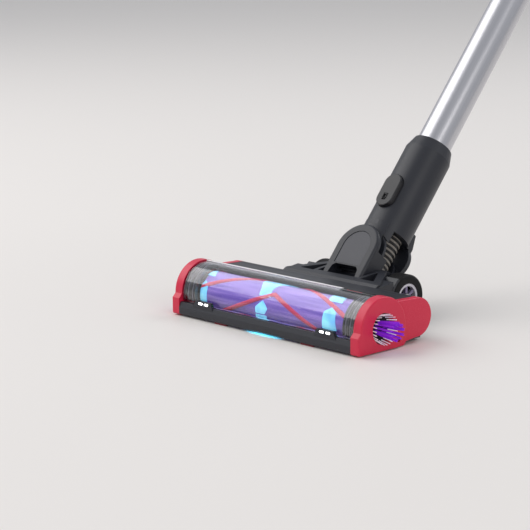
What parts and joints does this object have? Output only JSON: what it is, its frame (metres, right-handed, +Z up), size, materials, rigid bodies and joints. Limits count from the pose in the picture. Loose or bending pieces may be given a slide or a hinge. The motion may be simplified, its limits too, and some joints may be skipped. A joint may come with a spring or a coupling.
{
  "type": "cordless stick vacuum",
  "caption": "Cordless stick vacuum: coral-capped floor head with clear brush window and lamps, steering neck, metal wand, clear dust cup, pistol grip and slide-off battery.",
  "frame": {"origin": "on the floor, under the middle of the felt strip behind the brush roll", "axes": "+X to the right as seen from the front, +Y to the rear, away from the head's front lip, +Z up; the wand leans back 50 degrees above the floor in the Y-Z plane"},
  "size_m": [0.2886, 0.9394, 0.8172],
  "materials": {
    "coral_plastic": "satin moulded ABS",
    "charcoal_plastic": "fine spark texture",
    "black_plastic": "polished",
    "panel_plastic": "satin",
    "clear_plastic": "polished polycarbonate",
    "smoke_plastic": "polished tinted polycarbonate",
    "wand_metal": "brushed and anodised",
    "steel": "turned",
    "motor_can": "drawn",
    "rubber": "moulded",
    "tyre": "soft moulded",
    "rim_plastic": "metallic",
    "roll_pile": "short soft pile",
    "roll_strip": "stiff bristle",
    "roll_light": "light pile",
    "bristle_white": "nylon bristle",
    "bristle_purple": "nylon bristle",
    "lamp": "lit",
    "circuit_board": "solder mask",
    "felt": "pressed felt",
    "filter_paper": "pleated",
    "hub_metal": "turned",
    "screen": "gloss"
  },
  "bodies": {
    "main_unit": {"inlet_nozzle": "charcoal_plastic", "dust_cup": "smoke_plastic", "cyclone_shroud": "panel_plastic", "cyclone_crown": "panel_plastic", "motor_housing": "charcoal_plastic", "filter_deck": "charcoal_plastic", "fan_motor": "motor_can", "pleated_filter": "filter_paper", "display_lens": "screen", "handle_grip": "charcoal_plastic", "trigger_spring": "steel"},
    "cup_lid": {"cup_lid": "smoke_plastic"},
    "lid_latch": {"lid_latch": "coral_plastic"},
    "impeller": {"impeller": "hub_metal"},
    "exhaust_cap": {"exhaust_cap": "coral_plastic"},
    "mode_button": {"mode_button": "panel_plastic"},
    "trigger": {"trigger": "coral_plastic"},
    "battery": {"battery_pack": "charcoal_plastic"},
    "battery_latch": {"battery_latch": "coral_plastic"},
    "wand": {"wand_tube": "wand_metal", "wand_collar": "charcoal_plastic"},
    "wand_button": {"wand_button": "coral_plastic"},
    "neck_socket": {"neck_socket": "charcoal_plastic", "hose_upper": "rubber"},
    "socket_button": {"socket_button": "charcoal_plastic"},
    "neck_yoke": {"neck_yoke": "charcoal_plastic", "neck_shield_panel": "panel_plastic", "hose_lower": "rubber", "steer_pins": "steel"},
    "floor_head": {"sole_plate": "charcoal_plastic", "rear_housing": "charcoal_plastic", "end_cap_right": "coral_plastic", "end_cap_left": "coral_plastic", "front_lip": "charcoal_plastic", "brush_window": "clear_plastic", "badge_panel": "black_plastic", "suction_duct": "black_plastic", "saddle_frame": "charcoal_plastic", "led_lenses": "lamp", "led_board": "circuit_board", "floor_light": "lamp", "brush_motor": "motor_can", "drive_belt": "rubber", "roll_bearings": "steel", "wheel_axles": "steel", "pitch_pins": "steel", "head_screws": "steel", "felt_strips": "felt"},
    "brush_roll": {"roll_tube": "hub_metal", "roll_pile": "roll_pile", "roll_bristles": "roll_strip", "roll_pads": "roll_light", "roll_end_hubs": "black_plastic", "edge_bristles_white": "bristle_white", "edge_bristles_purple": "bristle_purple"},
    "brush_pinion": {"drive_pinion": "steel"},
    "wheel_right": {"tyre_right": "tyre", "wheel_rim_right": "rim_plastic"},
    "wheel_left": {"tyre_left": "tyre", "wheel_rim_left": "rim_plastic"}
  },
  "joints": [
    {"name": "wand_slide", "type": "slide", "parent": "main_unit", "child": "wand", "axis": [0, -0.6428, -0.766], "range_m": [0, 0.066]},
    {"name": "wand_button_press", "type": "slide", "parent": "wand", "child": "wand_button", "axis": [0, 0.766, -0.6428], "range_m": [0, 0.0014], "stiffness_N_per_m": 600, "springref_m": -0.0012},
    {"name": "socket_slide", "type": "slide", "parent": "wand", "child": "neck_socket", "axis": [0, -0.6428, -0.766], "range_m": [0, 0.069]},
    {"name": "socket_button_press", "type": "slide", "parent": "neck_socket", "child": "socket_button", "axis": [0, 0.766, -0.6428], "range_m": [0, 0.002], "stiffness_N_per_m": 600, "springref_m": -0.0012},
    {"name": "neck_steer", "type": "hinge", "parent": "neck_socket", "child": "neck_yoke", "pos_m": [0, 0.09493, 0.04775], "axis": [0, -0.766, 0.6428], "range_deg": [-38, 38]},
    {"name": "head_pitch", "type": "hinge", "parent": "neck_yoke", "child": "floor_head", "pos_m": [0, 0.075, 0.024], "axis": [1, 0, 0], "range_deg": [-30, 35]},
    {"name": "roll_spin", "type": "hinge", "parent": "floor_head", "child": "brush_roll", "pos_m": [0, -0.023, 0.0215], "axis": [1, 0, 0], "continuous": true},
    {"name": "pinion_spin", "type": "hinge", "parent": "floor_head", "child": "brush_pinion", "pos_m": [0, 0.0255, 0.02375], "axis": [1, 0, 0], "continuous": true},
    {"name": "wheel_right_spin", "type": "hinge", "parent": "floor_head", "child": "wheel_right", "pos_m": [0.049, 0.083, 0.0225], "axis": [1, 0, 0], "continuous": true},
    {"name": "wheel_left_spin", "type": "hinge", "parent": "floor_head", "child": "wheel_left", "pos_m": [-0.049, 0.083, 0.0225], "axis": [1, 0, 0], "continuous": true},
    {"name": "lid_hinge", "type": "hinge", "parent": "main_unit", "child": "cup_lid", "pos_m": [0, 0.65356, 0.57894], "axis": [1, 0, 0], "range_deg": [0, 95]},
    {"name": "lid_latch_slide", "type": "slide", "parent": "main_unit", "child": "lid_latch", "axis": [1, 0, 0], "range_m": [0, 0.0045], "stiffness_N_per_m": 300, "springref_m": -0.002},
    {"name": "impeller_spin", "type": "hinge", "parent": "main_unit", "child": "impeller", "pos_m": [0, 0.70037, 0.71328], "axis": [0, 0.6428, 0.766], "continuous": true},
    {"name": "exhaust_cap_turn", "type": "hinge", "parent": "main_unit", "child": "exhaust_cap", "pos_m": [0, 0.75822, 0.78222], "axis": [0, 0.6428, 0.766], "range_deg": [0, 30]},
    {"name": "mode_button_press", "type": "slide", "parent": "main_unit", "child": "mode_button", "axis": [0, -0.6428, -0.766], "range_m": [0, 0.0012], "stiffness_N_per_m": 400, "springref_m": -0.001},
    {"name": "trigger_pull", "type": "slide", "parent": "main_unit", "child": "trigger", "axis": [0, 0.6428, 0.766], "range_m": [0, 0.006], "stiffness_N_per_m": 500, "springref_m": -0.003, "deforming": ["trigger_spring"]},
    {"name": "battery_slide", "type": "slide", "parent": "main_unit", "child": "battery", "axis": [0, 0.766, -0.6428], "range_m": [0, 0.06]},
    {"name": "battery_latch_press", "type": "slide", "parent": "battery", "child": "battery_latch", "axis": [-1, 0, 0], "range_m": [0, 0.002], "stiffness_N_per_m": 400, "springref_m": -0.0015}
  ],
  "couplings": [
    {"joint": "pinion_spin", "follows": "roll_spin", "ratio": 3}
  ]
}
